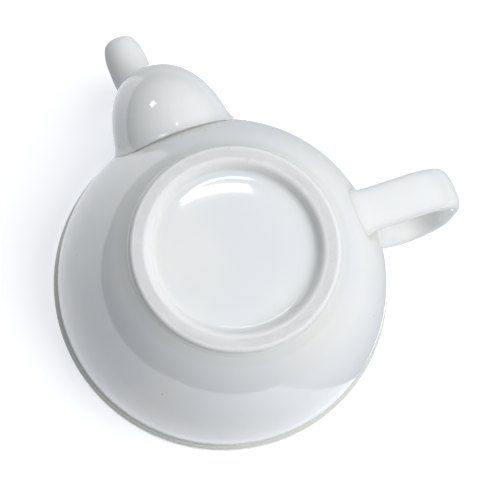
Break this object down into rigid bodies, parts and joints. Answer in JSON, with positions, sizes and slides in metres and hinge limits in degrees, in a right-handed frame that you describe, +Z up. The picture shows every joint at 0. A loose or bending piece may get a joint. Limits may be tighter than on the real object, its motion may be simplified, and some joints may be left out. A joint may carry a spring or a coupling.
{
  "type": "teapot",
  "caption": "Squat white porcelain teapot: round bowl on a foot ring, flat shoulder, lift-off lid with ball knob, side loop handle and a swollen spout rising to a narrow tip.",
  "frame": {"origin": "centre of the foot ring's bearing face, on the table", "axes": "+Z up along the pot's axis, +X towards the spout, +Y towards the handle"},
  "size_m": [0.1389, 0.1262, 0.0746],
  "materials": {
    "glaze": "gloss",
    "foot": "matte"
  },
  "bodies": {
    "pot": {"bowl": "glaze", "foot_ring": "foot", "shoulder": "glaze", "strainer": "glaze", "spout": "glaze", "handle": "glaze"},
    "lid_body": {"lid": "glaze", "lid_flange": "glaze", "lid_knob": "glaze"}
  },
  "joints": [
    {"name": "lid_lift", "type": "slide", "parent": "pot", "child": "lid_body", "axis": [0, 0, 1], "range_m": [0, 0.04]}
  ]
}
